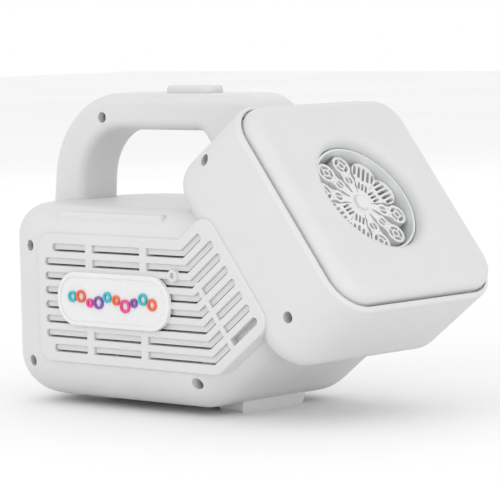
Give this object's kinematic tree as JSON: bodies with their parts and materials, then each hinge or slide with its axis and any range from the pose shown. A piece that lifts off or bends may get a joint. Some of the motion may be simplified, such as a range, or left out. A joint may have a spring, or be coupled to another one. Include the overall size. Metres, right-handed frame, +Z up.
{
  "type": "bubble machine",
  "caption": "Hand-carried bubble machine: rounded box body with arched handle, tilted head with round opening and wand wheel, louvred sides.",
  "frame": {"origin": "on the ground plane under the middle of the machine's bounding box", "axes": "+X towards the front where the bubbles leave, +Y to the machine's left side, +Z up"},
  "size_m": [0.263, 0.1398, 0.1753],
  "materials": {
    "shell_white": "satin",
    "cover_white": "satin",
    "badge_white": "satin",
    "wheel_white": "satin",
    "teal": "gloss",
    "red": "gloss",
    "pink": "gloss",
    "purple": "gloss",
    "tank_clear_white": "satin",
    "gear_plastic": "satin",
    "gearbox_plastic": "matt",
    "steel": "brushed",
    "brass": "polished",
    "seal_rubber": "matt",
    "board_green": "satin",
    "component_black": "satin",
    "cell_wrap": "gloss",
    "wire_red": "satin"
  },
  "bodies": {
    "housing": {"right_shell": "shell_white", "left_shell": "shell_white", "front_foot": "shell_white", "rear_foot": "shell_white", "front_cover": "cover_white", "right_baffle": "cover_white", "left_baffle": "cover_white", "right_badge": "badge_white", "left_badge": "badge_white", "badge_bubbles_teal": "teal", "badge_bubbles_red": "red", "badge_bubbles_pink": "pink", "badge_bubbles_purple": "purple", "solution_tank": "tank_clear_white", "air_nozzle": "tank_clear_white", "blower_housing": "tank_clear_white", "blower_lid": "tank_clear_white", "battery_tray": "tank_clear_white", "shaft_bush": "gear_plastic", "gearbox_case": "gearbox_plastic", "gearbox_lid": "gearbox_plastic", "case_screws": "steel", "tank_screws": "steel", "gearbox_screws": "steel", "board_screws": "steel", "gear_pins": "steel", "button_spring": "steel", "battery_contacts": "steel", "gear_motor": "steel", "fan_motor": "steel", "tank_seal": "seal_rubber", "control_board": "board_green", "switch_board": "board_green", "board_parts": "component_black", "button_switch": "component_black", "battery_cells": "cell_wrap", "wire_loom": "wire_red"},
    "wheel": {"wand_wheel": "wheel_white", "hub_cap": "wheel_white", "wheel_shaft": "steel", "output_gear": "gear_plastic"},
    "second_gear": {"second_gear": "gear_plastic"},
    "first_gear": {"first_gear": "gear_plastic"},
    "pinion": {"motor_pinion": "brass"},
    "fan": {"blower_impeller": "gear_plastic"},
    "door": {"battery_door": "shell_white", "door_screw": "steel"},
    "button": {"power_button": "cover_white"}
  },
  "joints": [
    {"name": "wheel_spin", "type": "hinge", "parent": "housing", "child": "wheel", "pos_m": [0.08999, 0, 0.11539], "axis": [0.7923, 0, 0.6101], "continuous": true},
    {"name": "second_gear_spin", "type": "hinge", "parent": "housing", "child": "second_gear", "pos_m": [0.09823, 0, 0.1047], "axis": [0.7923, 0, 0.6101], "continuous": true},
    {"name": "first_gear_spin", "type": "hinge", "parent": "housing", "child": "first_gear", "pos_m": [0.09823, -0.0135, 0.1047], "axis": [0.7923, 0, 0.6101], "continuous": true},
    {"name": "motor_pinion_spin", "type": "hinge", "parent": "housing", "child": "pinion", "pos_m": [0.10219, -0.02476, 0.09955], "axis": [0.7923, 0, 0.6101], "continuous": true},
    {"name": "blower_spin", "type": "hinge", "parent": "housing", "child": "fan", "pos_m": [0.01228, 0, 0.0606], "axis": [0, 1, 0], "continuous": true},
    {"name": "battery_door_swing", "type": "hinge", "parent": "housing", "child": "door", "pos_m": [-0.0016, 0, 0.0045], "axis": [0, -1, 0], "range_deg": [0, 80]},
    {"name": "power_button_press", "type": "slide", "parent": "housing", "child": "button", "axis": [0, 0, -1], "range_m": [0, 0.0024], "stiffness_N_per_m": 400, "springref_m": -0.001, "deforming": ["button_spring"]}
  ],
  "couplings": [
    {"joint": "second_gear_spin", "follows": "wheel_spin", "ratio": -3.5},
    {"joint": "first_gear_spin", "follows": "wheel_spin", "ratio": 12.25},
    {"joint": "motor_pinion_spin", "follows": "wheel_spin", "ratio": -51.45}
  ]
}
